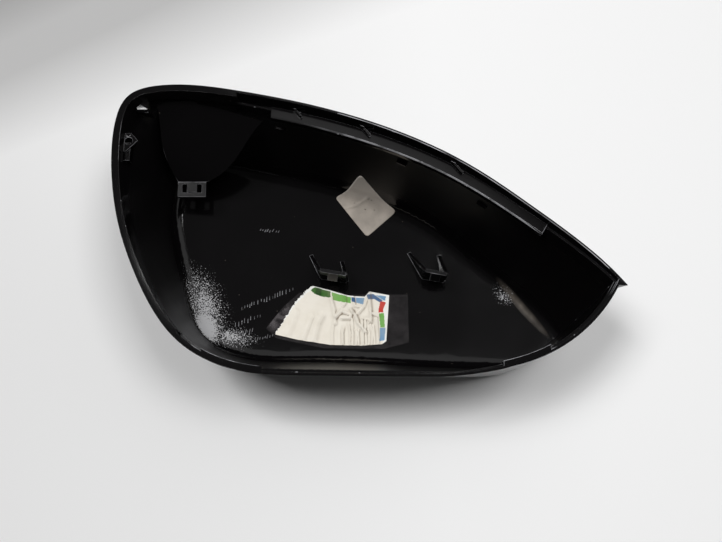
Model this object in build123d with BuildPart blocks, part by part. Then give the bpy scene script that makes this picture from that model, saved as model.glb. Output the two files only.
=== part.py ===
"""A wing mirror cover: one moulded shell with its clips, and three labels stuck inside it.

The cover lies on its painted back with the hollow side up. X runs from the outer end to the tip,
Y towards the upper edge, Z up out of the hollow. All sizes are millimetres.
"""
import os

from build123d import *

# Overall form
cover_length = 229
cover_width = 134
rim_height = 60
rim_fall_outer = 2.5
rim_fall_tip = 5
wall = 2.4
wall_bulge = 1.8
shoulder_radius = 9
belly_radius_long = 760
belly_radius_cross = 400
foot_depth = 0.6
overrun = 8

# Outlines before the arm cut, anticlockwise from the tip end, as shares of half the length and the width
rim_shares = [
    (1.127, -0.761),
    (1.079, -0.557),
    (0.677, 0.094),
    (0.376, 0.442),
    (-0.074, 0.764),
    (-0.515, 0.945),
    (-0.825, 1.0),
    (-0.948, 0.948),
    (-1.0, 0.761),
    (-0.978, 0.194),
    (-0.873, -0.313),
    (-0.707, -0.74),
    (-0.563, -0.903),
    (-0.236, -0.99),
    (0.236, -0.997),
    (0.83, -1.022),
    (1.072, -0.96),
]
floor_shares = [
    (0.803, -0.701),
    (0.769, -0.552),
    (0.55, -0.134),
    (0.323, 0.224),
    (-0.07, 0.522),
    (-0.454, 0.642),
    (-0.672, 0.664),
    (-0.773, 0.59),
    (-0.83, 0.388),
    (-0.83, 0.06),
    (-0.777, -0.328),
    (-0.707, -0.642),
    (-0.585, -0.769),
    (-0.236, -0.821),
    (0.236, -0.858),
    (0.629, -0.888),
    (0.764, -0.843),
]

# Two tangent arcs that trim the cover where the mirror's arm passes, up to a beak at the tip
beak_spot = (0.97, -0.41)
beak_angle = -30.5
arm_radius = 76
arm_start_angle = -74.5
entry_radius = 150

# Rim: thin beside the ledge and wide in a few lips, each lip over a range of X and Y, in shares
thin_rim = 1.3
thin_rim_start = -0.515
lip_width = 3.3
lip_depth = 6
lip_stretches = [
    ((-1.3, -0.515), (-0.2, 1.3)),
    ((-1.3, -0.68), (-0.73, -0.1)),
    ((-0.6, -0.375), (-1.3, -0.75)),
    ((0.51, 0.69), (-1.3, -0.6)),
]

# Ledge along the upper edge within a field, with a raised border, cross ribs, and pips on the wall below it
ledge_reach = 8
ledge_drop = 5.5
ledge_thickness = 2
ledge_field = [(-0.38, -0.2), (0.64, -0.2), (0.82, 0.3), (0.82, 1.3), (-0.38, 1.3)]
border_width = 1
border_rise = 0.8
cross_rib_spots = [(-0.256, 0.785), (0.023, 0.644), (0.39, 0.368)]
cross_rib_turn = -49
cross_rib_size = (14, 0.9, 3)
wall_pip_spots = [(-0.354, 0.78, -13), (0.153, 0.515, -25), (0.476, 0.2, -35)]
wall_pip_size = (5, 8, 1.2)
wall_pip_height = 42

# Clip tongue: a sloping plate off the upper wall, with a web under each side and a snap frame at its end
tongue_end = (-86, 32.3, 25)
tongue_slope = 40
tongue_plate = 1.8
tongue_web = 1.6
tongue_left = [(-7, 0), (-10, 7), (-12.3, 16), (-12.5, 26)]
tongue_right = [(49, 37.2), (38.5, 31.7), (23.5, 12.9), (7, 0)]
tongue_back = 60
frame_slope = 5
frame_width = 14
frame_length = 7.6
frame_bar = 2.2
frame_thickness = 2.6
snap_width = 5
snap_length = 5.2

# Clip towers: the two ends of each wall, and the foot of the gusset behind each end
tower_walls = [((-21.8, -11.3), (-8.9, -13.4)), ((30.6, -11.4), (41, -13.4))]
tower_feet = [((-27.5, 0.5), (-11.3, -2.8)), ((23.6, 1.8), (39, 0.6))]
tower_height = 18
tower_wall = 1.8
nose_width = 5
nose_reach = 2.6
nose_drop = 7

# Corner lug and side hook near the outer end, the spot of each as shares like the outlines
lug_spot = (-0.908, 0.89)
lug_width = 5
lug_profile = [(15, -3), (3.6, -3), (0.1, -6), (-2.5, -6.35), (-3.4, -7.5), (-2, -16), (15, -28)]
hook_spot = (-0.945, 0.61)
hook_points = [(-12, 3.6), (0.2, 4.3), (3.6, 0.5), (-1.6, -4.9), (-12, -4.9)]
hook_hole_spot = (-0.7, 0.3)
hook_hole_radius = 1.8
hook_drop = 6
hook_thickness = 2.2
hook_rib_length = 9
hook_rib_thickness = 2.6

# Labels on the floor of the hollow
grey_label_points = [(-2, 38.2), (17.2, 24.2), (1.6, 10.4), (-15.3, 32)]
grey_label_round = 2
film_points = [(-52, -27), (-41, -24.6), (18, -19.6), (22.3, -19.6), (23, -46.5), (12, -46.5), (-52, -40.5)]
torn_label_points = [
    (-44.4, -41.5),
    (-39.8, -33),
    (-36.2, -26.2),
    (-30, -18.6),
    (-26, -16.6),
    (-9.7, -19.9),
    (-6, -21.2),
    (0, -21),
    (2.6, -19.3),
    (12.8, -20.5),
    (10.8, -29.5),
    (11.6, -33),
    (11, -45.5),
    (-9.5, -46.8),
    (-17, -46.6),
    (-32.2, -44.4),
]
label_thickness = 0.25
film_thickness = 0.2
label_lift = 0.15


def to_size(shares):
    """Outline points in millimetres."""
    return [Vector(x * cover_length / 2, y * cover_width / 2) for x, y in shares]


def spacing(points):
    """How far round its outline each point lies, from 0 to 1."""
    chords = [(b - a).length for a, b in zip(points, points[1:] + points[:1])]
    return [sum(chords[:i]) / sum(chords) for i in range(len(chords) + 1)]


rim = to_size(rim_shares)
floor = to_size(floor_shares)
stations = [(a + b) / 2 for a, b in zip(spacing(rim), spacing(floor))]
arm_centre = to_size([beak_spot])[0] - Vector(arm_radius, 0).rotate(Axis.Z, beak_angle)


def outline(points):
    """A smooth closed curve through the points."""
    return Edge.make_spline(points, periodic=True, parameters=stations)


def inset(points, depth):
    """The points moved square to their outline, towards the inside."""
    curve = outline(points)
    moved = []
    for point, station in zip(points, stations):
        along = curve.tangent_at(station, position_mode=PositionMode.PARAMETER)
        moved.append(point + along.rotate(Axis.Z, 90) * depth)
    return moved


def belly(thickness):
    """The space above the belly's double curve, moved in from the painted side."""
    axis_height = belly_radius_cross - foot_depth
    crown_top = 2 * axis_height + foot_depth - thickness
    crown_side = crown_top - cover_length**2 / (2 * (belly_radius_long - thickness))
    with BuildPart() as space:
        with BuildSketch(Plane.XZ):
            with BuildLine():
                crown = ThreePointArc((-cover_length, crown_side), (0, crown_top), (cover_length, crown_side))
                Polyline(crown @ 0, (-cover_length, axis_height), (cover_length, axis_height), crown @ 1)
            make_face()
        revolve(axis=Axis((0, 0, axis_height), (1, 0, 0)))
    return space


def bowl(thickness, cut_angle):
    """The bowl as a full solid, moved in from the painted side, with the arm cut up to an angle."""
    halfway = [(low + high) * 0.5 for low, high in zip(floor, rim)]
    above = [low + (high - low) * (1 + overrun / rim_height) for low, high in zip(floor, rim)]
    levels = [
        (inset(floor, thickness), -foot_depth),
        (inset(halfway, thickness - wall_bulge), rim_height / 2),
        (inset(above, thickness), rim_height + overrun),
    ]
    with BuildPart() as body:
        for points, height in levels:
            with BuildSketch(Plane.XY.offset(height)):
                with BuildLine():
                    add(outline(points))
                make_face()
        loft()
        add(belly(thickness).part, mode=Mode.INTERSECT)
        belly_face = body.faces().sort_by(Axis.Z)[0]
        fillet(belly_face.edges(), shoulder_radius - thickness)
        with BuildSketch(Plane.XY.offset(-overrun)):
            with BuildLine():
                arm_sweep = cut_angle - arm_start_angle
                arm = CenterArc(arm_centre, arm_radius - thickness, arm_start_angle, arm_sweep)
                entry = JernArc(arm @ 0, arm % 0 * -1, entry_radius - thickness, -90 - arm_start_angle)
                corner = Vector(cover_length, -cover_width)
                Polyline(entry @ 1, ((entry @ 1).X, corner.Y), corner, (corner.X, (arm @ 1).Y), arm @ 1)
            make_face()
        extrude(amount=rim_height + 3 * overrun, mode=Mode.SUBTRACT)
    return body


def stretch(ranges):
    """A rectangle over a range of X and a range of Y."""
    low, high = to_size(zip(*ranges))
    with Locations((low + high) * 0.5):
        Rectangle(high.X - low.X, high.Y - low.Y)


outside = bowl(0, beak_angle)
hollow = bowl(wall, 0)

# Lips, ledge and pips, each run into the wall that trims it
ledge_top = rim_height - ledge_drop
with BuildPart() as rim_lips:
    with BuildSketch(Plane.XY.offset(rim_height - lip_depth)):
        for ranges in lip_stretches:
            stretch(ranges)
    extrude(amount=lip_depth + overrun)
    add(bowl(lip_width, 0).part, mode=Mode.SUBTRACT)
with BuildPart() as ledge:
    with BuildSketch(Plane.XY.offset(ledge_top - ledge_thickness)):
        Polygon(*to_size(ledge_field), align=None)
    extrude(amount=ledge_thickness + border_rise)
    with BuildSketch(Plane.XY.offset(ledge_top - overrun)):
        make_face(outline(inset(rim, ledge_reach)))
    extrude(amount=2 * overrun, mode=Mode.SUBTRACT)
    with BuildSketch(Plane.XY.offset(ledge_top)):
        Rectangle(2 * cover_length, 2 * cover_width)
        make_face(outline(inset(rim, ledge_reach - border_width)), mode=Mode.SUBTRACT)
    extrude(amount=overrun, mode=Mode.SUBTRACT)
    for spot in to_size(cross_rib_spots):
        with Locations(Location((spot.X, spot.Y, ledge_top - ledge_thickness / 2), (0, 0, cross_rib_turn))):
            Box(*cross_rib_size, align=(Align.MAX, Align.CENTER, Align.MIN))
with BuildPart() as wall_pips:
    for x, y, turn in wall_pip_spots:
        spot = to_size([(x, y)])[0]
        with Locations(Location((spot.X, spot.Y, wall_pip_height), (0, 0, turn))):
            Box(*wall_pip_size, align=(Align.CENTER, Align.MIN, Align.CENTER))

# Clip tongue
slope = Vector(0, 0, 1).rotate(Axis.X, tongue_slope)
tongue_plane = Plane(origin=tongue_end, x_dir=(1, 0, 0), z_dir=slope)
tongue_root = [(tongue_left[-1][0], tongue_back), (tongue_right[0][0], tongue_back)]
with BuildPart() as tongue:
    with BuildSketch(tongue_plane):
        with BuildLine():
            Spline(*tongue_left)
            Polyline(tongue_left[-1], *tongue_root, tongue_right[0])
            Spline(*tongue_right)
            Line(tongue_right[-1], tongue_left[0])
        make_face()
    extrude(amount=-rim_height / 2)
    with BuildSketch(tongue_plane.offset(-tongue_plate)):
        Polygon(*tongue_left, *tongue_root, *tongue_right, align=None)
        offset(amount=-tongue_web)
        Rectangle(frame_width - 2 * tongue_web, 4 * tongue_web)
    extrude(amount=-rim_height, mode=Mode.SUBTRACT)
    flat = Vector(0, 0, 1).rotate(Axis.X, frame_slope)
    with BuildSketch(Plane(origin=tongue_end, x_dir=(1, 0, 0), z_dir=flat)):
        with Locations((0, tongue_web)):
            Rectangle(frame_width, frame_length + tongue_web, align=(Align.CENTER, Align.MAX))
        with Locations((0, -frame_bar / 2)):
            Rectangle(
                frame_width - 2 * frame_bar,
                frame_length - 1.5 * frame_bar,
                align=(Align.CENTER, Align.MAX),
                mode=Mode.SUBTRACT,
            )
        Rectangle(snap_width, snap_length, align=(Align.CENTER, Align.MAX))
    extrude(amount=-frame_thickness)


def upright(start, end, profile, thickness):
    """A plate standing on the line from start to end, with its profile in distance along and height."""
    base = Vector(*start)
    along = (Vector(*end) - base).normalized()
    with BuildSketch(Plane(origin=base, x_dir=along, z_dir=along.cross(Vector(0, 0, 1)))) as side:
        Polygon(*profile, align=None)
    extrude(side.sketch, amount=thickness / 2, both=True)


with BuildPart() as towers:
    for ends, feet in zip(tower_walls, tower_feet):
        reach = (Vector(*ends[1]) - Vector(*ends[0])).length
        front = [(0, -overrun), (reach, -overrun), (reach, tower_height), (0, tower_height)]
        upright(*ends, front, tower_wall)
        for end, foot in zip(ends, feet):
            run = (Vector(*foot) - Vector(*end)).length
            upright(end, foot, [(0, -overrun), (run, -overrun), (run, wall), (0, tower_height)], tower_wall)
        middle = (Vector(*ends[0]) + Vector(*ends[1])) * 0.5
        across = (Vector(*ends[1]) - Vector(*ends[0])).rotate(Axis.Z, -90).normalized()
        nose = [
            (0, tower_height),
            (tower_wall / 2, tower_height),
            (tower_wall / 2 + nose_reach, tower_height - nose_drop * 0.7),
            (tower_wall / 2, tower_height - nose_drop),
            (0, tower_height - nose_drop),
        ]
        upright(middle, middle + across, nose, nose_width)

with BuildPart() as end_clips:
    lug_at, hook_at = to_size([lug_spot, hook_spot])
    with BuildSketch(Plane(origin=(lug_at.X, lug_at.Y, rim_height), x_dir=(0, 1, 0), z_dir=(1, 0, 0))):
        Polygon(*lug_profile, align=None)
    extrude(amount=lug_width / 2, both=True)
    with BuildSketch(Plane(origin=(hook_at.X, hook_at.Y, rim_height - hook_drop))):
        Polygon(*hook_points, align=None)
        with Locations(hook_hole_spot):
            Circle(hook_hole_radius, mode=Mode.SUBTRACT)
    extrude(amount=-hook_thickness)
    with Locations((hook_at.X, hook_at.Y, rim_height - hook_drop - hook_thickness / 2)):
        Box(hook_rib_thickness, hook_rib_length, 2 * hook_thickness, align=Align.MAX)

# Thin rim beside the ledge
with BuildPart() as rim_space:
    add(bowl(thin_rim, 0).part)
    with Locations((thin_rim_start * cover_length / 2, 0, ledge_top - ledge_thickness / 2)):
        Box(
            cover_length,
            2 * cover_width,
            rim_height,
            align=(Align.MIN, Align.CENTER, Align.MIN),
            mode=Mode.INTERSECT,
        )

with BuildPart() as cavity:
    add(hollow.part)
    add(rim_space.part)
    for feature in (rim_lips, ledge, wall_pips, tongue, towers, end_clips):
        add(feature.part, mode=Mode.SUBTRACT)

with BuildPart() as cover_shell:
    add(outside.part)
    add(cavity.part, mode=Mode.SUBTRACT)
    split(bisect_by=Plane.XY, keep=Keep.TOP)
    with BuildSketch(Plane.XZ):
        with BuildLine():
            rim_line = ThreePointArc(
                (-cover_length / 2, rim_height - rim_fall_outer),
                (0, rim_height),
                (cover_length / 2, rim_height - rim_fall_tip),
            )
            Polyline(
                rim_line @ 1,
                (cover_length, rim_height - 2 * rim_fall_tip),
                (cover_length, 2 * rim_height),
                (-cover_length, 2 * rim_height),
                (-cover_length, rim_height - 2 * rim_fall_outer),
                rim_line @ 0,
            )
        make_face()
    extrude(amount=cover_width, both=True, mode=Mode.SUBTRACT)

# Labels lying on the floor: the torn label lies over the film
with BuildPart() as grey_label:
    with BuildSketch() as label_face:
        Polygon(*grey_label_points, align=None)
        fillet(label_face.vertices(), grey_label_round)
    extrude(amount=rim_height / 2)
    add(hollow.part, mode=Mode.INTERSECT)
    add(bowl(wall + label_thickness, 0).part, mode=Mode.SUBTRACT)
with BuildPart() as label_film:
    with BuildSketch():
        Polygon(*film_points, align=None)
    extrude(amount=rim_height / 2)
    add(hollow.part, mode=Mode.INTERSECT)
    add(bowl(wall + film_thickness, 0).part, mode=Mode.SUBTRACT)
with BuildPart() as torn_label:
    with BuildSketch():
        Polygon(*torn_label_points, align=None)
    extrude(amount=rim_height / 2)
    label_base = wall + film_thickness + label_lift
    add(belly(label_base).part, mode=Mode.INTERSECT)
    add(belly(label_base + label_thickness).part, mode=Mode.SUBTRACT)

os.makedirs("parts", exist_ok=True)
cover_shell.part.label = "cover_shell"
export_step(cover_shell.part, "parts/cover_shell.step")
grey_label.part.label = "grey_label"
export_step(grey_label.part, "parts/grey_label.step")
label_film.part.label = "label_film"
export_step(label_film.part, "parts/label_film.step")
torn_label.part.label = "torn_label"
export_step(torn_label.part, "parts/torn_label.step")
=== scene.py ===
"""A wing mirror cover lying open side up: moulded shell, clip parts, old labels and overspray.

Lengths in the lists are millimetres in the frame of the part: X along the cover, Y across it, Z up.
"""
import functools
import math
import random

import bpy
import numpy as np
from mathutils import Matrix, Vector
from mathutils.bvhtree import BVHTree


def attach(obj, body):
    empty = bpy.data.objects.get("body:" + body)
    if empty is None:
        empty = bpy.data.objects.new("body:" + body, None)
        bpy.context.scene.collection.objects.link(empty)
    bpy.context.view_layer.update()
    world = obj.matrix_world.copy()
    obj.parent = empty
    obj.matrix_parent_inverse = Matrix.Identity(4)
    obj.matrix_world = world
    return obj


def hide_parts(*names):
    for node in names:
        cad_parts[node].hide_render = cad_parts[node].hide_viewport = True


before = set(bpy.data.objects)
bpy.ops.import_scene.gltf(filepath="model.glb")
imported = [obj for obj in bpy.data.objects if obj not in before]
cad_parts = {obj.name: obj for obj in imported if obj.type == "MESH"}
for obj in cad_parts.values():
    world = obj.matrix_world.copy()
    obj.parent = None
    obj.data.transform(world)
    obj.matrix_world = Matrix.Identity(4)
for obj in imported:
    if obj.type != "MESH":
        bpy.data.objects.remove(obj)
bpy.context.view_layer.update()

bl_info = {
    "name": "Wing mirror cover",
    "version": (1, 0, 0),
    "blender": (4, 5, 0),
    "location": "3D View > Sidebar > Wing cover",
    "description": "Finishes a wing mirror cover: shell, mould marks, labels and stage",
    "category": "Object",
}

MM = 0.001


def linear(code):
    """A six-figure sRGB colour code as linear red, green and blue."""
    values = [int(code[i:i + 2], 16) / 255 for i in (1, 3, 5)]
    return tuple(v / 12.92 if v <= 0.04045 else ((v + 0.055) / 1.055) ** 2.4 for v in values)


# Driving sizes and colours

def length_property(label, description, size):
    """A length that is typed in millimetres and kept in metres."""
    return bpy.props.FloatProperty(name=label, description=description, default=size * MM, min=0, unit="LENGTH")


def share_property(label, description, share):
    """A plain number from 0 upwards."""
    return bpy.props.FloatProperty(name=label, description=description, default=share, min=0)


def colour_property(label, description, code):
    """A colour given as an sRGB code."""
    return bpy.props.FloatVectorProperty(
        name=label, description=description, default=linear(code), subtype="COLOR", size=3, min=0, max=1)


class WingCoverShape(bpy.types.PropertyGroup):
    """Sizes of the details that are added to the moulding."""
    edge_round: length_property("Edge rounding", "Radius on the sharp edges of the moulding", 0.15)
    mark_height: length_property("Mark height", "How far the mould marks stand off the floor", 0.3)
    line_width: length_property("Line width", "Width of the pale line on the rim", 0.35)
    line_inset: length_property("Line inset", "Distance of the pale line from the outer edge of the rim", 0.85)
    paper_gap: length_property("Paper gap", "Height of the torn paper over the shell", 0.5)
    fold_share: share_property("Folds", "How high the folds of the torn paper are, 1 as seen", 1.0)


class WingCoverColours(bpy.types.PropertyGroup):
    """Colours of the shell and of its labels."""
    shell: colour_property("Shell", "Moulded black plastic", "#090809")
    # pale of the chips, and of the painted highlights on edges, the ledge border, the mould marks and the rim's outer
    # edge
    edge: colour_property("Rubbed edges", "Pale plastic on rubbed edges", "#b4b4b8")
    paint: colour_property("Paint", "Gloss paint of the outer face", "#050506")
    spray: colour_property("Overspray", "Pale primer mist that settled inside", "#b9b9bb")
    # dust specks, and the painted warm reflection along the foot of the end wall
    dust_and_reflection: colour_property("Dust", "Dry dirt on the end wall", "#8d847a")
    grey_label: colour_property("Grey label", "Plain metallised label", "#a0988f")
    film: colour_property("Film", "Backing film of the torn label", "#9a9496")
    paper: colour_property("Paper", "Cream label paper", "#f1ebdf")
    dark_green: colour_property("Dark green", "First field on the upper edge", "#2f6420")
    light_green: colour_property("Light green", "Second field on the upper edge", "#6fae52")
    blue: colour_property("Blue", "Fields of blue", "#2f5f8f")
    pale_blue: colour_property("Pale blue", "Thin blue of the folded corner and the lowest field", "#6c9ac0")
    red: colour_property("Red", "Field on the right edge", "#c8332c")
    margin: colour_property("Margin", "White margin of the torn label", "#f7f8f4")
    deep_green: colour_property("Deep green", "Dark end of the first field", "#1d4517")


class WingCoverStage(bpy.types.PropertyGroup):
    """Floor, light and camera."""
    floor: colour_property("Floor", "Pale board under the part", "#f8f8f8")
    lamp_power: share_property("Lamps", "Power of the lamps on each side in watts", 10.5)
    surround: share_property("Surround", "Strength of the light from all round", 1.0)


def settings():
    """The three groups of settings of this scene."""
    scene = bpy.context.scene
    return scene.wing_cover_shape, scene.wing_cover_colours, scene.wing_cover_stage


# Material building

def feed(node, inputs):
    """Sets or links each input of a node, by its name or number."""
    for name, value in inputs.items():
        if isinstance(value, bpy.types.NodeSocket):
            node.id_data.links.new(value, node.inputs[name])
        else:
            node.inputs[name].default_value = value


# Numbers of inputs below: a MapRange takes its value as 0, the range it comes from as 1 and 2, and the range it
# goes to as 3 and 4; a Mix of colours takes the share as 0 and the two colours as 6 and 7, and gives output 2.
def add_node(tree, kind, inputs=None, output=0, **options):
    """Adds one node, sets its options, feeds its inputs, and gives one of its outputs."""
    node = tree.nodes.new("ShaderNode" + kind)
    for name, value in options.items():
        setattr(node, name, value)
    feed(node, inputs or {})
    return node.outputs[output]


def new_material(name):
    """A material, the call that adds its nodes, its main shader, and the place on the part."""
    material = bpy.data.materials.new(name)
    material.use_nodes = True
    tree = material.node_tree
    add = functools.partial(add_node, tree)
    return material, add, tree.nodes["Principled BSDF"], add("TexCoord", output="Object")


def patch(add, place, centre, reach, turn=0.0, edge=0.15):
    """1 in an ellipse seen from above, falling to 0 at its border; edge is where the fall starts, 0 to 1."""
    near = add("Mapping", {
        "Vector": place, "Location": (centre[0] * MM, centre[1] * MM, 0), "Rotation": (0, 0, math.radians(turn)),
        "Scale": (reach[0] * MM, reach[1] * MM, 1)}, vector_type="TEXTURE")
    length = add("VectorMath", {0: near}, "Value", operation="LENGTH")
    return add("MapRange", {0: length, 1: edge, 2: 1.0, 3: 1.0, 4: 0.0})


def opaque(colour):
    """A colour with full alpha."""
    return (*colour, 1.0)


def moulded_shell(colours):
    """ABS moulded in a polished tool: a dark mirror with faint flow blotches, dust, primer mist and a painted warm
    reflection along the foot of the end wall.
    """
    material, add, shader, place = new_material("black_abs_polished_moulding")
    height = add("SeparateXYZ", {0: place}, 2)

    # primer mist on the floor: dense beside the outer wall, thin towards its border
    mist = 0.0
    for centre, reach, turn, strength in MIST_PATCHES:
        share = add("Math", {0: patch(add, place, centre, reach, turn), 1: strength}, operation="MULTIPLY")
        mist = add("Math", {0: mist, 1: share}, operation="MAXIMUM")
    low = add("MapRange", {0: height, 1: 9 * MM, 2: 11 * MM, 3: 1.0, 4: 0.0})
    mist = add("Math", {0: mist, 1: low}, operation="MULTIPLY")
    # real droplets are under 0.1 mm; they are drawn 0.6 mm wide so that the picture can show them
    drops = add("TexNoise", {"Vector": place, "Scale": 1 / (0.6 * MM), "Detail": 3.0})
    crowd = add("Math", {0: drops, 1: mist}, operation="ADD")
    spots = add("MapRange", {0: crowd, 1: 0.72, 2: 0.84})
    within = add("MapRange", {0: mist, 1: 0.0, 2: 0.08})
    spots = add("Math", {0: spots, 1: within}, operation="MULTIPLY")

    # painted reflection: a warm pale streak along the foot of the end wall, in blotches of about 5 mm
    reflection_blotches = add("TexNoise", {"Vector": place, "Scale": 1 / (5 * MM), "Detail": 4.0})
    reflection_blotches = add("MapRange", {0: reflection_blotches, 1: 0.25, 2: 0.8, 3: 0.2, 4: 0.55})
    painted_reflection = add("Math", {0: reflection_blotches, 1: patch(add, place, *REFLECTION_PATCH)}, operation="MULTIPLY")

    # single specks of dust about 8 mm apart and 0.5 mm wide; real ones are finer than the picture can show
    cells = add("TexVoronoi", {"Vector": place, "Scale": 1 / (8 * MM)}, "Distance")
    specks = add("MapRange", {0: cells, 1: 0.02, 2: 0.04, 3: 0.25, 4: 0.0})

    # the painted warm reflection and the dust specks share one warm grey
    colour = add("Mix", {0: painted_reflection, 6: opaque(colours.shell), 7: opaque(colours.dust_and_reflection)}, 2, data_type="RGBA")
    colour = add("Mix", {0: specks, 6: colour, 7: opaque(colours.dust_and_reflection)}, 2, data_type="RGBA")
    colour = add("Mix", {0: spots, 6: colour, 7: opaque(colours.spray)}, 2, data_type="RGBA")

    # flow blotches of about 22 mm
    blotch = add("TexNoise", {"Vector": place, "Scale": 1 / (22 * MM)})
    roughness = add("MapRange", {0: blotch, 1: 0.3, 2: 0.7, 3: 0.09, 4: 0.13})
    # the side walls are drawn from the tool and are duller than the floor and the rim
    above_floor = add("MapRange", {0: height, 1: 9 * MM, 2: 15 * MM})
    dull = add("MapRange", {0: height, 1: 46 * MM, 2: 50 * MM, 3: 0.25, 4: 0.0})
    dull = add("Math", {0: above_floor, 1: dull}, operation="MULTIPLY")
    roughness = add("Math", {0: roughness, 1: dull}, operation="ADD")
    # the primer mist and the painted reflection are dull too
    mist_and_reflection = add("Math", {0: spots, 1: painted_reflection}, operation="ADD")
    mist_and_reflection = add("Math", {0: mist_and_reflection, 1: 0.4}, operation="MULTIPLY")
    roughness = add("Math", {0: roughness, 1: mist_and_reflection}, operation="ADD")

    # faint polishing marks of about 0.9 mm, and droplets that stand proud
    marks = add("TexNoise", {"Vector": place, "Scale": 1 / (0.9 * MM)})
    bump = add("Bump", {"Height": marks, "Strength": 0.03, "Distance": 0.1 * MM})
    bump = add("Bump", {"Height": spots, "Strength": 0.5, "Distance": 0.2 * MM, "Normal": bump})
    feed(shader, {"Base Color": colour, "Roughness": roughness, "IOR": 1.52, "Normal": bump})
    return material


def edge_highlights_and_chips(colours):
    """Painted highlights on the edges of the moulding as thin pale lines, broken here and there, and a few chips from
    handling.
    """
    material, add, shader, place = new_material("black_abs_rubbed_edges")
    normal = add("TexCoord", output="Normal")
    height = add("SeparateXYZ", {0: place}, 2)
    high = add("MapRange", {0: height, 1: 42 * MM, 2: 46 * MM})

    # painted highlight lines on the rim that runs to the tip and on the border of the ledge beside it, but not on the
    # edges that face inwards
    slant = add("VectorMath", {0: place, 1: (0.6, 1.0, 0)}, "Value", operation="DOT_PRODUCT")
    slant = add("MapRange", {0: slant, 1: 32 * MM, 2: 40 * MM})
    pale_share = add("Math", {0: slant, 1: high}, operation="MULTIPLY")
    outward = add("VectorMath", {0: normal, 1: (0.5, 0.86, 0)}, "Value", operation="DOT_PRODUCT")
    outward = add("MapRange", {0: outward, 1: -0.15, 2: -0.05})
    pale_share = add("Math", {0: pale_share, 1: outward}, operation="MULTIPLY")
    # flat tops get less of the painted highlight than corners
    upright = add("SeparateXYZ", {0: normal}, 2)
    corner = add("MapRange", {0: upright, 1: 0.97, 2: 0.99, 3: 1.0, 4: 0.4})
    pale_share = add("Math", {0: pale_share, 1: corner}, operation="MULTIPLY")

    # painted highlights on the clips and the mould marks, strongest on the corners that face up and towards -Y
    front = add("VectorMath", {0: normal, 1: (-0.2, -0.6, 0.75)}, "Value", operation="DOT_PRODUCT")
    front = add("MapRange", {0: front, 1: 0.5, 2: 0.92, 3: 0.12, 4: 1.0})
    for centre, reach, strength in HIGHLIGHT_PATCHES:
        share = add("Math", {0: patch(add, place, centre, reach, edge=0.85), 1: strength}, operation="MULTIPLY")
        share = add("Math", {0: share, 1: front}, operation="MULTIPLY")
        pale_share = add("Math", {0: pale_share, 1: share}, operation="MAXIMUM")
    # painted highlights on the edges of the rim's short lips, high up
    for centre, reach in LIP_PATCHES:
        share = add("Math", {0: patch(add, place, centre, reach, edge=0.85), 1: high}, operation="MULTIPLY")
        pale_share = add("Math", {0: pale_share, 1: share}, operation="MAXIMUM")

    # the highlight lines fade in and out over about 7 mm, and the chips lie about 3 mm apart
    breaks = add("TexNoise", {"Vector": place, "Scale": 1 / (7 * MM)})
    breaks = add("MapRange", {0: breaks, 1: 0.35, 2: 0.55, 3: 0.25, 4: 1.0})
    pale_share = add("Math", {0: pale_share, 1: breaks}, operation="MULTIPLY")
    chips = add("TexNoise", {"Vector": place, "Scale": 1 / (3 * MM)})
    chips = add("MapRange", {0: chips, 1: 0.69, 2: 0.71, 3: 0.0, 4: 0.8})
    pale_share = add("Math", {0: pale_share, 1: chips}, operation="MAXIMUM")
    # the pale colour paints the highlights and the chips
    colour = add("Mix", {0: pale_share, 6: opaque(colours.shell), 7: opaque(colours.edge)}, 2, data_type="RGBA")
    feed(shader, {"Base Color": colour, "Roughness": 0.25, "IOR": 1.52})
    return material


def primer_line(colours):
    """Painted highlight along the outer edge of the rim: a thin pale line, broken here and there."""
    material, add, shader, place = new_material("grey_primer_bare_line")
    # the painted highlight fades in and out over about 12 mm
    pale_share = add("TexNoise", {"Vector": place, "Scale": 1 / (12 * MM)})
    pale_share = add("MapRange", {0: pale_share, 1: 0.3, 2: 0.6, 3: 0.15, 4: 1.0})
    colour = add("Mix", {0: pale_share, 6: opaque(colours.shell), 7: opaque(colours.edge)}, 2, data_type="RGBA")
    feed(shader, {"Base Color": colour, "Roughness": 0.35, "IOR": 1.5})
    return material


def painted_face(colours):
    """Base coat under clear coat: a deep even mirror with a trace of orange peel."""
    material, add, shader, place = new_material("black_base_coat_clear_coated")
    # orange peel of about 2 mm
    peel = add("TexNoise", {"Vector": place, "Scale": 1 / (2 * MM)})
    peel = add("Bump", {"Height": peel, "Strength": 0.06, "Distance": 0.2 * MM})
    # the base coat lies inside the clear coat, so only the clear coat has a face that mirrors
    feed(shader, {
        "Base Color": opaque(colours.paint), "Roughness": 0.5, "IOR": 1.5, "Specular IOR Level": 0.0,
        "Coat Weight": 1.0, "Coat Roughness": 0.04, "Coat IOR": 1.5, "Coat Normal": peel})
    return material


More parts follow.
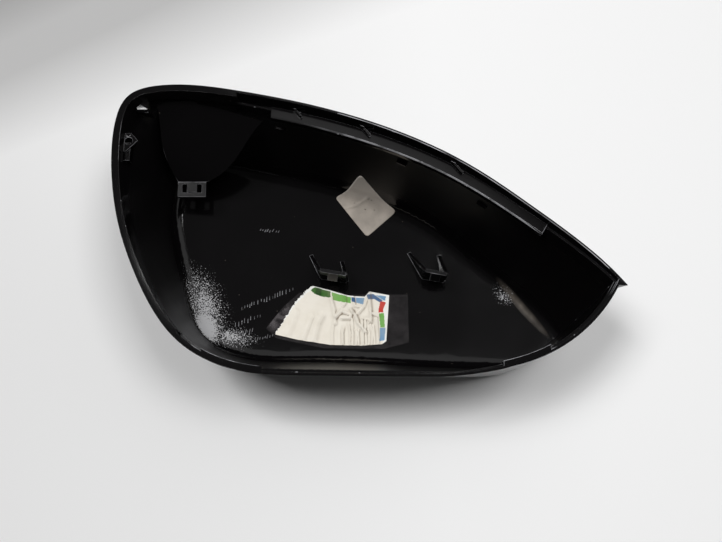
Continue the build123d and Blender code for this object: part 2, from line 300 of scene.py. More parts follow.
def label_foil(colours):
    """Aluminium-pigmented label: grey with a soft sheen, rubbed patches, small stains and painted light on the end
    that climbs the wall.
    """
    material, add, shader, place = new_material("grey_label_pigment_printed")
    # rubbed patches of about 9 mm
    rubbed = add("TexNoise", {"Vector": place, "Scale": 1 / (9 * MM), "Detail": 4.0})
    rubbed = add("MapRange", {0: rubbed, 1: 0.35, 2: 0.7})
    pale = tuple(min(1.0, 1.45 * value) for value in colours.grey_label)
    colour = add("Mix", {0: rubbed, 6: opaque(colours.grey_label), 7: opaque(pale)}, 2, data_type="RGBA")
    # painted light: the end that climbs the wall is painted paler, for light that falls on it
    height = add("SeparateXYZ", {0: place}, 2)
    painted_light = add("MapRange", {0: height, 1: 4 * MM, 2: 10 * MM, 3: 0.0, 4: 0.85})
    colour = add("Mix", {0: painted_light, 6: colour, 7: opaque(linear("#f6eee4"))}, 2, data_type="RGBA")
    # stains of 3.5 mm and less
    stains = add("TexNoise", {"Vector": place, "Scale": 1 / (3.5 * MM), "Detail": 3.0})
    stains = add("MapRange", {0: stains, 1: 0.68, 2: 0.76, 3: 0.0, 4: 0.6})
    colour = add("Mix", {0: stains, 6: colour, 7: opaque(linear("#4a433d"))}, 2, data_type="RGBA")
    # the sheet lies uneven on its adhesive, in waves of about 5 mm
    waves = add("TexNoise", {"Vector": place, "Scale": 1 / (5 * MM)})
    bump = add("Bump", {"Height": waves, "Strength": 0.25, "Distance": 0.3 * MM})
    roughness = add("MapRange", {0: rubbed, 1: 0.0, 2: 1.0, 3: 0.38, 4: 0.55})
    feed(shader, {"Base Color": colour, "Roughness": roughness, "IOR": 1.5, "Metallic": 0.1, "Normal": bump})
    return material


def clear_film(colours):
    """Thin clear film with a dry adhesive haze: the black shows through it as dark grey."""
    material, add, shader, place = new_material("clear_film_adhesive_haze")
    # haze in clouds of about 6 mm
    haze = add("TexNoise", {"Vector": place, "Scale": 1 / (6 * MM), "Detail": 4.0})
    haze = add("MapRange", {0: haze, 1: 0.3, 2: 0.75, 3: 0.015, 4: 0.05})
    # more adhesive is left where the paper has gone, in lumps of about 4 mm
    left = add("TexNoise", {"Vector": place, "Scale": 1 / (4 * MM), "Detail": 4.0})
    left = add("MapRange", {0: left, 1: 0.4, 2: 0.6, 3: 0.0, 4: 0.14})
    left = add("Math", {0: left, 1: patch(add, place, *ADHESIVE_PATCH, edge=0.5)}, operation="MULTIPLY")
    haze = add("Math", {0: haze, 1: left}, operation="ADD")
    waves = add("TexNoise", {"Vector": place, "Scale": 1 / (4 * MM)})
    bump = add("Bump", {"Height": waves, "Strength": 0.3, "Distance": 0.2 * MM})
    feed(shader, {
        "Base Color": opaque(colours.film), "Alpha": haze, "Roughness": 0.3, "IOR": 1.5, "Normal": bump})
    return material


def label_paper(colours):
    """Coated paper with offset inks: satin cream with painted brown shade in the folds, fields of flat colour."""
    material, add, shader, place = new_material("coated_paper_offset_print")
    ink = add("VertexColor", output="Color", layer_name="ink")
    fold = add("Attribute", output="Fac", attribute_name="fold")
    # yellowed patches of about 7 mm
    aged = add("TexNoise", {"Vector": place, "Scale": 1 / (7 * MM), "Detail": 3.0})
    aged = add("MapRange", {0: aged, 1: 0.35, 2: 0.75, 3: 0.0, 4: 0.22})
    colour = add("Mix", {0: aged, 6: ink, 7: opaque(linear("#cbbfa8"))}, 2, data_type="RGBA")
    # painted shade: the hollows of the folds, and their sides away from the light, turn brown
    colour = add("Mix", {0: fold, 6: colour, 7: opaque(linear("#6b5740"))}, 2, data_type="RGBA")
    # paper fibre of about 0.1 mm is drawn as 0.5 mm so that the picture can show it
    fibre = add("TexNoise", {"Vector": place, "Scale": 1 / (0.5 * MM)})
    bump = add("Bump", {"Height": fibre, "Strength": 0.1, "Distance": 0.1 * MM})
    feed(shader, {"Base Color": colour, "Roughness": 0.5, "IOR": 1.47, "Normal": bump})
    return material


def board(stage):
    """Matt white board with painted shade: darker towards the far left corner and a little towards the left."""
    material, add, shader, place = new_material("white_board_matt_painted")
    # painted shade: a slanting border between the pale board and the darker field, in two steps
    corner = add("VectorMath", {0: place, 1: (6.2, -11.4, 0)}, "Value", operation="DOT_PRODUCT")
    shade = add("MapRange", {0: corner, 1: -3.05, 2: -1.5, 3: 0.62, 4: 0.0})
    near = add("MapRange", {0: corner, 1: -2.45, 2: -1.55, 3: 0.49, 4: 0.0})
    shade = add("Math", {0: shade, 1: near}, operation="MAXIMUM")
    # painted shade, a little darker towards the left
    across = add("SeparateXYZ", {0: place}, 0)
    left = add("MapRange", {0: across, 1: -0.19, 2: 0.04, 3: 0.17, 4: 0.0})
    shade = add("Math", {0: shade, 1: left}, operation="MAXIMUM")
    colour = add("Mix", {0: shade, 6: opaque(stage.floor), 7: opaque(linear("#2e2a27"))}, 2, data_type="RGBA")
    # roller marks of about 1.5 mm
    marks = add("TexNoise", {"Vector": place, "Scale": 1 / (1.5 * MM)})
    bump = add("Bump", {"Height": marks, "Strength": 0.03, "Distance": 0.1 * MM})
    feed(shader, {"Base Color": colour, "Roughness": 0.75, "IOR": 1.45, "Normal": bump})
    return material


def studio_surround(stage):
    """Light from all round: a pale window wall behind the part and a dim room that is darkest in front of it."""
    world = bpy.data.worlds.new("studio_surround")
    world.use_nodes = True
    tree = world.node_tree
    add = functools.partial(add_node, tree)
    way = add("TexCoord", output="Generated")
    right, back, up = (add("SeparateXYZ", {0: way}, axis) for axis in range(3))
    up = add("Math", {0: up, 1: 0.05}, operation="MAXIMUM")
    across = add("Math", {0: right, 1: up}, operation="DIVIDE")
    away = add("Math", {0: back, 1: up}, operation="DIVIDE")
    # the window starts at a slanting border and ends on the left
    slant = add("Math", {0: across, 1: 0.25}, operation="MULTIPLY")
    slant = add("Math", {0: away, 1: slant}, operation="ADD")
    window = add("MapRange", {0: slant, 1: 0.40, 2: 0.48, 3: 0.0, 4: 0.5})
    left_end = add("MapRange", {0: across, 1: -0.28, 2: -0.16})
    window = add("Math", {0: window, 1: left_end}, operation="MULTIPLY")
    room = add("MapRange", {0: back, 1: -0.3, 2: 0.0, 3: 0.03, 4: 0.075})
    level = add("Math", {0: window, 1: room}, operation="ADD")
    strength = add("Math", {0: level, 1: stage.surround}, operation="MULTIPLY")
    feed(tree.nodes["Background"], {"Color": (1, 1, 1, 1), "Strength": strength})
    return world


# Where the mist of primer lies: centre, reach along and across, turn in degrees, strength
MIST_PATCHES = [
    ((-79, -39), (10, 17), 14, 0.55),
    ((-80, -28), (31, 14), -68, 0.32),
    ((-67, -43), (19, 8), -8, 0.31),
    ((71, -22), (10, 6), -48, 0.24),
]
# Where the painted warm reflection lies along the foot of the end wall
REFLECTION_PATCH = ((80, -28.5), (21, 2.4), -52.5)
# Where more adhesive is left on the film
ADHESIVE_PATCH = ((-43, -32), (9, 9))

# Where painted highlights lie on the edges of the clips and of the mould marks on the floor: centre, reach along and
# across, strength
HIGHLIGHT_PATCHES = [
    ((-16, -6), (22, 18), 0.8),
    ((35, -5), (20, 16), 0.8),
    ((-86, 27), (12, 10), 0.5),
    ((-107, 40), (10, 12), 0.7),
    ((-50, -22), (30, 42), 0.8),
]
# Where painted highlights lie on the edges of the rim's short lips: centre, reach along and across
LIP_PATCHES = [((-57, -57), (18, 9)), ((68, -56), (14, 10))]

# Places of the three materials on the shell
MOULDED, PAINTED, EDGE_HIGHLIGHTS = range(3)
# The top of the ledge's border, which takes the painted highlight: range of height, left end, and least upward part
# of a face's normal
BORDER_TOP = (54.9, 55.9)
BORDER_LEFT = -50
BORDER_LEVEL = 0.98
# The painted outside has no face whose normal points up by more than this
OUTSIDE_LEVEL = 0.2
# A ray that tells the outside from the hollow: how far off the face it starts, and how far down it points
RAY_START = 0.05
RAY_DIP = -0.06
# Points closer than this are one point, and edges that turn by more than this many radians are rounded
WELD_REACH = 0.002
SHARP_ANGLE = 0.6

# Heights from which rays look down for the floor and for the rim
FLOOR_RAY = 45
RIM_RAY = 80
DOWN = Vector((0, 0, -1))
# The search for the rim's edge: first y and first step, last y, last step, and least upward part of its normal
RIM_SEARCH = (75.0, 0.5)
RIM_END = -75.0
RIM_TOLERANCE = 0.01
RIM_LEVEL = 0.9
# A smooth floor: places along and across, least height over the median that is left out at first,
# least distance from the fit that is left out in the next rounds, and number of rounds
FIT_GRID = (25, 15)
FIT_FIRST = 2.5
FIT_LAST = 0.25
FIT_ROUNDS = 4

# The painted highlight along the rim's outer edge: range of X, columns, heights over the rim across its width, and
# thickness
LINE_RANGE = (-12, 108)
LINE_COLUMNS = 240
LINE_LIFTS = (0.05, 0.07, 0.05)
LINE_THICKNESS = 0.05

# Rows of mould marks: start, end and length of a mark
MARK_ROWS = [
    ((-62.0, -28.0), (-35.5, -17.2), 3.0),
    ((-64.5, -36.8), (-52.5, -31.6), 2.8),
    ((-62.0, -41.0), (-54.5, -39.2), 3.0),
    ((-66.0, -45.6), (-45.0, -42.0), 2.4),
    ((-54.0, 14.0), (-43.0, 13.0), 1.8),
]
# A mark: half its thickness, slant, depth under the floor, and shares of its height and width going up
MARK_HALF = 0.25
MARK_SLANT = 0.4
MARK_SINK = 0.2
MARK_RINGS = ((0.7, 0.9), (1.0, 0.65))
# Ranges that are drawn from: share of the length, offset across the row, and step along the row
MARK_SIZES = (0.45, 1.0)
MARK_DRIFT = (-0.45, 0.45)
MARK_STEPS = (1.1, 2.0)

# Lamps: name, direction, width in metres, share of the power, and whether gloss mirrors it
LAMPS = [
    ("lamp_lug", (-0.380, 0.262, 1.0), 0.12, 0.09, True),
    ("lamp_tower", (0.139, 0.235, 1.0), 0.06, 0.02, True),
    ("lamp_left", (-0.42, 0.20, 1.0), 0.50, 1.1, False),
    ("lamp_right", (0.38, 0.14, 1.0), 0.50, 0.78, False),
]
# Distance of the lamps and half the width of the board, in metres
LAMP_DISTANCE = 1.5
BOARD_HALF = 1.5
# Focal length and sensor width of the camera, its nearest distance in metres, its place and what it looks at
CAMERA_LENS = 33.69
CAMERA_SENSOR = 36
CAMERA_NEAR = 0.01
CAMERA_PLACE = (-1.5, -92.7, 342.4)
CAMERA_TARGET = (-1.5, -22.3, 60.0)

# Grey label: corners, how far from a corner its rounding starts, and steps of the rounding
GREY_LABEL_CORNERS = [(-2.0, 38.2), (17.2, 24.2), (1.6, 10.4), (-15.3, 32.0)]
GREY_LABEL_ROUND = 2
GREY_LABEL_ROUND_STEPS = 7
# Its crease: line, height and half width
GREY_LABEL_CREASE = ([(-10.0, 25.9), (-4.0, 27.4), (1.7, 31.2)], 0.4, 0.6)
# Points round its border and rings inwards, size of the last ring, height over the shell, and thickness
GREY_LABEL_GRID = (120, 26)
GREY_LABEL_LAST_RING = 0.02
GREY_LABEL_LIFT = 0.25
GREY_LABEL_THICKNESS = 0.2

# Thickness of the film and of the torn paper
SHEET_THICKNESS = 0.1
# Columns and rows of the film, the floor that it follows (two corners), height over it, and height of its ripples
FILM_GRID = (90, 36)
FILM_GROUND = (-48, -48, 22, -21)
FILM_LIFT = 0.22
FILM_RIPPLE = 0.05
# Columns and rows of the torn paper, the floor that it follows, and rows and columns of its white margin
PAPER_GRID = (281, 121)
PAPER_GROUND = (-44, -46, 12, -21)
MARGIN_ROWS = 7
MARGIN_COLUMNS = 11
# The torn border: columns that end there, how far it wanders, which way, how smoothly, and how fast it fades
TORN_COLUMNS = 120
TEAR_REACH = 0.6
TEAR_WAY = (-0.8, 0.5)
TEAR_SMOOTHING = (0.25, 0.5, 0.25)
TEAR_FALL = 6
# Shade in the hollows of the paper: points looked at each way, share per millimetre, part that is too faint,
# and most; on the sides of the folds: middle share, how far it changes, and the slope that changes it
HOLLOW_REACH = 4
HOLLOW_SHADE = 4.2
HOLLOW_FAINT = 0.02
HOLLOW_MOST = 0.8
SIDE_MIDDLE = 0.6
SIDE_CHANGE = 0.4
SIDE_SLOPE = 0.01

# Upper and lower edge of the film and of the torn paper, from left to right
FILM_EDGES = (
    [(-49.0, -38.0), (-41.0, -27.0), (-33.0, -19.5), (-10.0, -20.5), (22.6, -20.5)],
    [(-49.0, -38.5), (-44.0, -43.5), (-20.0, -48.5), (10.0, -48.8), (22.6, -45.5)],
)
PAPER_EDGES = (
    [(-44.4, -41.0), (-39.8, -33.0), (-36.2, -26.2), (-30.0, -18.6), (-26.4, -16.0), (-16.9, -18.4),
     (-9.7, -20.6), (-6.0, -21.3), (0.4, -21.6), (2.9, -18.9), (13.0, -20.9)],
    [(-44.4, -41.6), (-32.4, -44.4), (-16.6, -46.8), (-1.0, -47.2), (9.0, -46.4), (11.2, -44.9)],
)
PAPER_INKS = [
    ("dark_green", [(-27.4, -18.2), (-25.2, -16.7), (-17.2, -18.9), (-17.1, -22.2), (-21.8, -21.6), (-25.4, -20.2)]),
    ("deep_green", [(-24.6, -17.0), (-21.6, -17.8), (-22.0, -21.4), (-24.9, -20.4)]),
    ("light_green", [(-16.6, -19.2), (-9.8, -21.2), (-6.7, -21.9), (-6.7, -25.2), (-11.4, -24.4), (-15.9, -23.4)]),
    ("blue", [(-6.5, -21.9), (-4.3, -22.1), (-4.3, -24.9), (-6.2, -24.2)]),
    ("pale_blue", [(-4.1, -22.1), (0.3, -22.4), (-0.4, -25.7), (-4.1, -24.8)]),
    ("blue", [(1.4, -20.6), (4.8, -20.2), (9.5, -23.6), (8.9, -25.2), (5.3, -22.9), (2.0, -23.2)]),
    ("pale_blue", [(5.6, -20.6), (11.3, -21.6), (10.8, -23.9), (9.5, -23.3)]),
    ("red", [(8.4, -24.1), (11.3, -24.6), (9.9, -28.1), (9.9, -29.9), (7.3, -29.9), (7.6, -27.6)]),
    ("light_green", [(7.6, -30.4), (10.2, -30.4), (10.6, -37.8), (8.3, -37.8)]),
    ("pale_blue", [(8.1, -38.0), (10.8, -38.0), (10.4, -44.3), (7.8, -44.9)]),
]

# Folds of the torn paper: height, half width and line
PAPER_FOLDS = [
    (0.75, 1.6, [(-21.7, -31.3), (-23.7, -35.5), (-25.6, -44.3)]),
    (0.55, 1.3, [(-26.8, -32.4), (-29.3, -39.1), (-31.0, -43.8)]),
    (0.5, 1.5, [(-34.7, -30.3), (-36.6, -37.0), (-38.5, -41.0)]),
    (0.6, 0.8, [(-17.1, -22.3), (-15.5, -28.1), (-14.7, -35.5)]),
    (0.9, 0.85, [(-14.4, -32.3), (-11.4, -29.2), (-8.2, -30.7)]),
    (0.75, 0.85, [(-11.3, -32.8), (-7.2, -32.8), (-6.2, -29.7)]),
    (0.95, 0.8, [(-7.2, -28.1), (-4.6, -31.3), (-3.0, -35.5), (0.8, -40.1)]),
    (0.6, 0.7, [(-3.0, -30.2), (0.1, -26.5), (1.6, -22.8)]),
    (0.5, 0.5, [(-1.0, -32.8), (2.1, -33.4), (3.2, -34.7)]),
    (0.4, 0.5, [(-4.6, -26.5), (-2.0, -27.0)]),
    (0.5, 0.6, [(3.7, -30.2), (7.3, -31.8)]),
    (0.7, 0.75, [(2.4, -20.1), (3.2, -28.1), (3.4, -34.7)]),
    (0.5, 0.5, [(-9.8, -21.2), (-9.6, -24.9), (-10.8, -26.5)]),
    (0.5, 0.5, [(-5.9, -21.2), (-4.9, -26.0)]),
]
# Fine gathers: x at their upper and at their lower end
GATHERS = [(-15.4, -15.8), (-12.9, -12.5), (-10.3, -10.5), (-7.7, -7.1), (-6.1, -5.8), (-4.1, -3.8), (-2.8, -2.6),
           (-1.0, -0.5), (0.6, 1.3), (2.1, 2.4), (3.4, 4.1), (4.7, 5.4), (6.3, 7.2)]
# Y of their upper end, of their bend and of their lower end
GATHER_TOP = -34.5
GATHER_MIDDLE = -40.5
GATHER_BOTTOM = -46.6
# Ranges that are drawn from: offset of the bend, offset of the upper end, height and half width
GATHER_DRIFT = (-0.7, 0.7)
GATHER_SHIFT = (-5.0, 2.0)
GATHER_HEIGHTS = (0.12, 0.55)
GATHER_WIDTHS = (0.3, 0.5)


# Mesh building

def shell_tree():
    """The shell as a tree for rays."""
    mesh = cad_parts["cover_shell"].data
    return BVHTree.FromPolygons([v.co for v in mesh.vertices], [p.vertices for p in mesh.polygons])


def floor_height(tree, x, y):
    """Height of the inner face under a point, all in millimetres."""
    hit = tree.ray_cast(Vector((x, y, FLOOR_RAY)) * MM, DOWN)[0]
    if hit is None:
        raise ValueError(f"nothing under {x}, {y}")
    return hit.z / MM


def curve_terms(x, y):
    """The six terms of a curved floor at each place."""
    return np.stack([np.ones_like(x), x, y, x * x, x * y, y * y], axis=-1)


def floor_fit(tree, box):
    """A smooth curved floor through the inner face between two corners, as a function of x and y."""
    columns = np.linspace(box[0], box[2], FIT_GRID[0])
    rows = np.linspace(box[1], box[3], FIT_GRID[1])
    grid = [(x, y) for x in columns for y in rows]
    heights = np.array([floor_height(tree, x, y) for x, y in grid])
    terms = curve_terms(*np.array(grid).T)
    # what stands on the floor is left out of the fit
    keep = heights < np.median(heights) + FIT_FIRST
    for _ in range(FIT_ROUNDS):
        factors = np.linalg.lstsq(terms[keep], heights[keep], rcond=None)[0]
        keep = np.abs(terms @ factors - heights) < FIT_LAST
    return lambda x, y: curve_terms(x, y) @ factors


def rim_edge(tree, places):
    """Outer edge of the upper rim over each x, as points in millimetres."""
    edge = []
    for x in places:
        outside, step = RIM_SEARCH
        while step > RIM_TOLERANCE:
            if outside < RIM_END:
                raise ValueError(f"no rim over x {x}")
            hit, normal = tree.ray_cast(Vector((x, outside - step, RIM_RAY)) * MM, DOWN)[:2]
            if hit is None or normal.z < RIM_LEVEL:
                outside -= step
            else:
                step /= 2
                top = hit.z / MM
        edge.append((x, outside, top))
    return np.array(edge)


def along(points, count):
    """Evenly spaced points on a line through the given ones."""
    points = np.array(points, dtype=float)
    steps = np.concatenate([[0], np.cumsum(np.hypot(*np.diff(points, axis=0).T))])
    where = np.linspace(0, steps[-1], count)
    return np.stack([np.interp(where, steps, points[:, axis]) for axis in (0, 1)], axis=1)


def line_distance(x, y, points):
    """Shortest distance from each place to a line of straight pieces."""
    best = np.full_like(x, np.inf)
    for (ax, ay), (bx, by) in zip(points, points[1:]):
        dx, dy = bx - ax, by - ay
        share = np.clip(((x - ax) * dx + (y - ay) * dy) / (dx * dx + dy * dy), 0, 1)
        best = np.minimum(best, np.hypot(x - ax - share * dx, y - ay - share * dy))
    return best


def ridge(x, y, line, height, width):
    """Height of a rounded ridge along a line, at each place."""
    return height * np.exp(-(line_distance(x, y, line) / width) ** 2)


def in_field(x, y, corners):
    """True for each place inside a field with straight sides."""
    inside = np.zeros(x.shape, dtype=bool)
    for (ax, ay), (bx, by) in zip(corners, corners[1:] + corners[:1]):
        if ay == by:
            continue
        crossing = (ay > y) != (by > y)
        inside ^= crossing & (x < ax + (y - ay) * (bx - ax) / (by - ay))
    return inside


def strip(edges, columns, rows):
    """Grid of points between an upper and a lower edge."""
    upper, lower = (along(edge, columns) for edge in edges)
    share = np.linspace(0, 1, rows)
    return tuple(low[:, None] + share * (high - low)[:, None] for low, high in zip(lower.T, upper.T))


def grid_piece(name, x, y, z, thickness, closed=False):
    """A sheet through a grid of points in millimetres, thick downwards; closed joins its last column to its first."""
    columns, rows = x.shape
    points = np.stack([x, y, z], axis=2).reshape(-1, 3) * MM
    faces = []
    for i in range(columns if closed else columns - 1):
        j = (i + 1) % columns
        for k in range(rows - 1):
            faces.append((i * rows + k, j * rows + k, j * rows + k + 1, i * rows + k + 1))
    mesh = bpy.data.meshes.new(name)
    mesh.from_pydata(points.tolist(), [], faces)
    mesh.validate()
    mesh.shade_smooth()
    piece = bpy.data.objects.new(name, mesh)
    bpy.context.scene.collection.objects.link(piece)
    solid = piece.modifiers.new("thickness", "SOLIDIFY")
    solid.thickness = thickness * MM
    solid.offset = -1
    return piece


# One operator for each piece

class FinishShell(bpy.types.Operator):
    """Rounds the edges of the moulding, paints its two sides, and gives its edges and the ledge border the material
    of painted highlights and chips
    """
    bl_idname = "wing_cover.finish_shell"
    bl_label = "Finish shell"

    def execute(self, context):
        shape, colours, _ = settings()
        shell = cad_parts["cover_shell"]
        mesh = shell.data
        tree = shell_tree()
        mesh.materials.clear()
        for material in (moulded_shell, painted_face, edge_highlights_and_chips):
            mesh.materials.append(material(colours))
        for face in mesh.polygons:
            start = face.center + face.normal * RAY_START * MM
            # a look outwards and a little down meets the far wall from inside the hollow, and nothing from outside
            way = Vector((face.normal.x, face.normal.y, min(face.normal.z, RAY_DIP)))
            open_side = tree.ray_cast(start, way.normalized())[0] is None
            face.material_index = PAINTED if open_side and face.normal.z < OUTSIDE_LEVEL else MOULDED
            # the top of the ledge's border takes the painted highlight
            border = BORDER_TOP[0] * MM < face.center.z < BORDER_TOP[1] * MM
            if border and face.normal.z > BORDER_LEVEL and face.center.x > BORDER_LEFT * MM and face.center.y > 0:
                face.material_index = EDGE_HIGHLIGHTS
            face.use_smooth = True
        weld = shell.modifiers.new("weld", "WELD")
        weld.merge_threshold = WELD_REACH * MM
        bevel = shell.modifiers.new("edges", "BEVEL")
        bevel.width = shape.edge_round
        bevel.segments = 2
        bevel.limit_method = "ANGLE"
        bevel.angle_limit = SHARP_ANGLE
        bevel.use_clamp_overlap = False
        # the rounded edges take the painted highlights and chips
        bevel.material = EDGE_HIGHLIGHTS
        shell.modifiers.new("normals", "WEIGHTED_NORMAL").keep_sharp = True
        return {"FINISHED"}


class AddMouldMarks(bpy.types.Operator):
    """Adds rows of small raised bars to the floor of the shell"""
    bl_idname = "wing_cover.add_mould_marks"
    bl_label = "Add mould marks"

    def execute(self, context):
        shape, _, _ = settings()
        tree = shell_tree()
        height = shape.mark_height / MM
        rings = [(-MARK_SINK, 1.0)] + [(height * rise, spread) for rise, spread in MARK_RINGS]
        draw = random.Random(7)
        points, faces = [], []
        for start, end, mark in MARK_ROWS:
            start, end = Vector(start), Vector(end)
            way = (end - start).normalized()
            side = Vector((-way.y, way.x))
            place = 0.0
            while place < (end - start).length:
                size = mark * draw.uniform(*MARK_SIZES)
                middle = start + way * place
                lean = side * draw.uniform(*MARK_DRIFT)
                base = len(points)
                for level, spread in rings:
                    for a, b in ((-1, -1), (1, -1), (1, 1), (-1, 1)):
                        spot = middle + (side + way * MARK_SLANT) * b * spread * size / 2
                        spot = spot + way * a * spread * MARK_HALF + lean
                        points.append((spot.x, spot.y, floor_height(tree, spot.x, spot.y) + level))
                # four walls between each ring of four points and the next, and a top
                for ring in (0, 4):
                    for k in range(4):
                        j = (k + 1) % 4
                        faces.append(tuple(base + n for n in (ring + k, ring + j, ring + 4 + j, ring + 4 + k)))
                faces.append(tuple(base + n for n in (8, 9, 10, 11)))
                place += draw.uniform(*MARK_STEPS)
        mesh = bpy.data.meshes.new("mould_marks")
        mesh.from_pydata([Vector(p) * MM for p in points], [], faces)
        # the marks take the edge material, which paints highlights on their tops and corners
        mesh.materials.append(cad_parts["cover_shell"].data.materials[EDGE_HIGHLIGHTS])
        piece = bpy.data.objects.new("mould_marks", mesh)
        context.scene.collection.objects.link(piece)
        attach(piece, "root")
        return {"FINISHED"}


class AddRimHighlight(bpy.types.Operator):
    """Adds a pale strip that paints the highlight along the outer edge of the rim that runs to the tip"""
    bl_idname = "wing_cover.add_primer_line"
    bl_label = "Add primer line"

    def execute(self, context):
        shape, colours, _ = settings()
        edge = rim_edge(shell_tree(), np.linspace(*LINE_RANGE, LINE_COLUMNS))
        way = np.gradient(edge[:, :2], axis=0)
        way /= np.linalg.norm(way, axis=1)[:, None]
        inward = np.stack([way[:, 1], -way[:, 0]], axis=1)
        inset, width = shape.line_inset / MM, shape.line_width / MM
        offsets = np.array([inset + width, inset + width / 2, inset])
        x = edge[:, :1] + inward[:, :1] * offsets
        y = edge[:, 1:2] + inward[:, 1:] * offsets
        z = edge[:, 2:] + np.array(LINE_LIFTS)
        piece = grid_piece("primer_line", x, y, z, LINE_THICKNESS)
        piece.data.materials.append(primer_line(colours))
        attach(piece, "root")
        return {"FINISHED"}


class AddGreyLabel(bpy.types.Operator):
    """Lays the grey label with its rounded corners on the curve of the shell"""
    bl_idname = "wing_cover.add_grey_label"
    bl_label = "Add grey label"

    def execute(self, context):
        _, colours, _ = settings()
        tree = shell_tree()
        corners = [np.array(c) for c in GREY_LABEL_CORNERS]
        border = []
        for i, corner in enumerate(corners):
            before = corners[i - 1] - corner
            after = corners[(i + 1) % 4] - corner
            before, after = before / np.linalg.norm(before), after / np.linalg.norm(after)
            for share in np.linspace(0, 1, GREY_LABEL_ROUND_STEPS):
                border.append(corner + GREY_LABEL_ROUND * ((1 - share) ** 2 * before + share ** 2 * after))
        # rings of points from the border to the middle
        columns, rows = GREY_LABEL_GRID
        border = along(border + border[:1], columns + 1)[:-1]
        centre = border.mean(axis=0)
        shares = np.linspace(1.0, GREY_LABEL_LAST_RING, rows)
        x = centre[0] + (border[:, :1] - centre[0]) * shares
        y = centre[1] + (border[:, 1:] - centre[1]) * shares
        z = np.vectorize(lambda a, b: floor_height(tree, a, b))(x, y) + GREY_LABEL_LIFT
        z += ridge(x, y, *GREY_LABEL_CREASE)
        piece = grid_piece("grey_label_sheet", x, y, z, GREY_LABEL_THICKNESS, closed=True)
        piece.data.materials.append(label_foil(colours))
        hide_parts("grey_label")
        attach(piece, "root")
        return {"FINISHED"}


class AddLabelFilm(bpy.types.Operator):
    """Lays the clear film that is left under the torn paper"""
    bl_idname = "wing_cover.add_label_film"
    bl_label = "Add label film"

    def execute(self, context):
        _, colours, _ = settings()
        x, y = strip(FILM_EDGES, *FILM_GRID)
        ground = floor_fit(shell_tree(), FILM_GROUND)
        # ripples about 6 mm long one way and 9 mm the other
        ripple = FILM_RIPPLE * np.sin(x * 0.9 + y * 0.4) * np.sin(y * 0.7)
        piece = grid_piece("label_film_sheet", x, y, ground(x, y) + FILM_LIFT + ripple, SHEET_THICKNESS)
        piece.data.materials.append(clear_film(colours))
        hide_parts("label_film")
        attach(piece, "root")
        return {"FINISHED"}


class AddTornLabel(bpy.types.Operator):
    """Lays the torn and crumpled paper label with its fields of colour"""
    bl_idname = "wing_cover.add_torn_label"
    bl_label = "Add torn label"

    def execute(self, context):
        shape, colours, _ = settings()
        columns, rows = PAPER_GRID
        x, y = strip(PAPER_EDGES, columns, rows)
        # the left end is torn: its border wanders by about half a millimetre, and the sheet within it stays
        tearing = random.Random(5)
        tear = np.zeros(columns)
        tear[1:TORN_COLUMNS] = [tearing.uniform(-TEAR_REACH, TEAR_REACH) for _ in range(1, TORN_COLUMNS)]
        tear = np.convolve(tear, TEAR_SMOOTHING, "same")[:, None] * np.linspace(0, 1, rows) ** TEAR_FALL
        x, y = x + TEAR_WAY[0] * tear, y + TEAR_WAY[1] * tear
        ground = floor_fit(shell_tree(), PAPER_GROUND)
        rise = np.zeros_like(x)
        for height, width, line in PAPER_FOLDS:
            rise += ridge(x, y, line, height, width)
        draw = random.Random(3)
        for upper, lower in GATHERS:
            bend = (upper + lower) / 2 + draw.uniform(*GATHER_DRIFT)
            top = GATHER_TOP + draw.uniform(*GATHER_SHIFT)
            line = [(upper, top), (bend, GATHER_MIDDLE), (lower, GATHER_BOTTOM)]
            height = draw.uniform(*GATHER_HEIGHTS)
            rise += ridge(x, y, line, height, draw.uniform(*GATHER_WIDTHS))
        rise *= shape.fold_share
        z = ground(x, y) + shape.paper_gap / MM + rise
        piece = grid_piece("torn_label_sheet", x, y, z, SHEET_THICKNESS)
        mesh = piece.data

        # painted shade: hollows between the folds are painted browner; a hollow is where the sheet lies under its own
        # average
        near = range(-HOLLOW_REACH, HOLLOW_REACH + 1)
        around = sum(np.roll(rise, (i, k), (0, 1)) for i in near for k in near) / len(near) ** 2
        shade = np.clip((around - rise) * HOLLOW_SHADE - HOLLOW_FAINT, 0, HOLLOW_MOST)
        # the painted shade is strongest on the sides of the folds that face right or down, away from the light
        away = np.gradient(rise, axis=1) - np.gradient(rise, axis=0)
        shade *= SIDE_MIDDLE + SIDE_CHANGE * np.tanh(away / SIDE_SLOPE)
        fold = mesh.attributes.new("fold", "FLOAT", "POINT")
        fold.data.foreach_set("value", shade.ravel())
        inks = np.ones((*x.shape, 4))
        inks[..., :3] = colours.paper
        inks[:, -MARGIN_ROWS:, :3] = colours.margin
        inks[-MARGIN_COLUMNS:, :, :3] = colours.margin
        for name, corners in PAPER_INKS:
            inks[in_field(x, y, corners), :3] = getattr(colours, name)
        mesh.color_attributes.new("ink", "FLOAT_COLOR", "POINT").data.foreach_set("color", inks.ravel())
        mesh.materials.append(label_paper(colours))
        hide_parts("torn_label")
        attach(piece, "root")
        return {"FINISHED"}


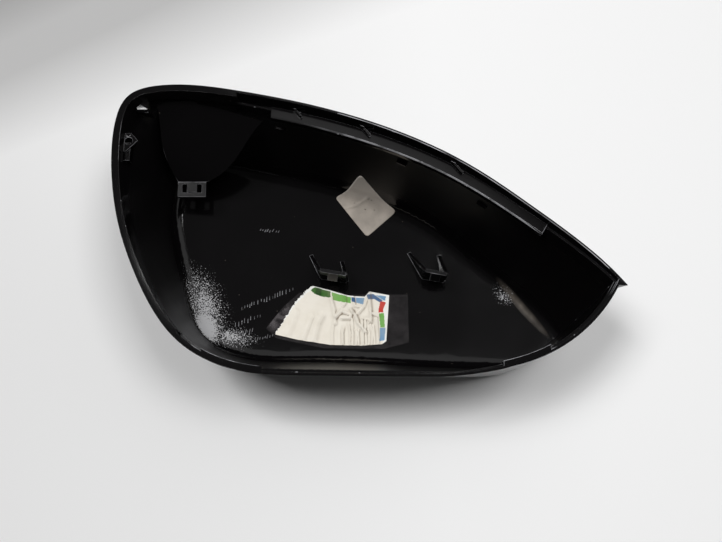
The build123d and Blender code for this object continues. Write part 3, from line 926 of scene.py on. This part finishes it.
class BuildStage(bpy.types.Operator):
    """Sets up the pale board, the soft light and the camera"""
    bl_idname = "wing_cover.build_stage"
    bl_label = "Build stage"

    def execute(self, context):
        _, _, stage = settings()
        scene = context.scene
        mesh = bpy.data.meshes.new("board")
        corners = [(a * BOARD_HALF, b * BOARD_HALF, 0) for a, b in ((-1, -1), (1, -1), (1, 1), (-1, 1))]
        mesh.from_pydata(corners, [], [(0, 1, 2, 3)])
        mesh.materials.append(board(stage))
        floor = bpy.data.objects.new("board", mesh)
        scene.collection.objects.link(floor)

        # the two wide lamps are kept out of the gloss, so only the small ones show in the black
        for name, way, size, share, mirrored in LAMPS:
            data = bpy.data.lights.new(name, "AREA")
            data.shape = "SQUARE"
            data.size = size
            data.energy = stage.lamp_power * share
            lamp = bpy.data.objects.new(name, data)
            lamp.location = Vector(way).normalized() * LAMP_DISTANCE
            lamp.rotation_euler = Vector(way).to_track_quat("Z", "Y").to_euler()
            lamp.visible_glossy = mirrored
            scene.collection.objects.link(lamp)
        scene.world = studio_surround(stage)

        data = bpy.data.cameras.new("camera")
        data.lens = CAMERA_LENS
        data.sensor_width = CAMERA_SENSOR
        data.clip_start = CAMERA_NEAR
        camera = bpy.data.objects.new("camera", data)
        spot = Vector(CAMERA_PLACE) * MM
        target = Vector(CAMERA_TARGET) * MM
        camera.location = spot
        camera.rotation_euler = (target - spot).to_track_quat("-Z", "Y").to_euler()
        scene.collection.objects.link(camera)
        scene.camera = camera
        scene.view_settings.view_transform = "Standard"
        return {"FINISHED"}


OPERATORS = (FinishShell, AddMouldMarks, AddRimHighlight, AddGreyLabel, AddLabelFilm, AddTornLabel, BuildStage)
GROUPS = {
    "wing_cover_shape": WingCoverShape,
    "wing_cover_colours": WingCoverColours,
    "wing_cover_stage": WingCoverStage,
}


class WingCoverPanel(bpy.types.Panel):
    """Settings and steps of the wing cover"""
    bl_idname = "WINGCOVER_PT_steps"
    bl_label = "Wing cover"
    bl_space_type = "VIEW_3D"
    bl_region_type = "UI"
    bl_category = "Wing cover"

    def draw(self, context):
        for name, group in GROUPS.items():
            box = self.layout.box()
            for setting in group.__annotations__:
                box.prop(getattr(context.scene, name), setting)
        for step in OPERATORS:
            self.layout.operator(step.bl_idname)


def register():
    for group in GROUPS.values():
        bpy.utils.register_class(group)
    for name, group in GROUPS.items():
        setattr(bpy.types.Scene, name, bpy.props.PointerProperty(type=group))
    for step in OPERATORS:
        bpy.utils.register_class(step)
    bpy.utils.register_class(WingCoverPanel)


def unregister():
    bpy.utils.unregister_class(WingCoverPanel)
    for step in reversed(OPERATORS):
        bpy.utils.unregister_class(step)
    for name, group in GROUPS.items():
        delattr(bpy.types.Scene, name)
        bpy.utils.unregister_class(group)


def main():
    register()
    bpy.ops.wing_cover.finish_shell()
    bpy.ops.wing_cover.add_mould_marks()
    bpy.ops.wing_cover.add_primer_line()
    bpy.ops.wing_cover.add_grey_label()
    bpy.ops.wing_cover.add_label_film()
    bpy.ops.wing_cover.add_torn_label()
    bpy.ops.wing_cover.build_stage()


if __name__ == "__main__":
    main()
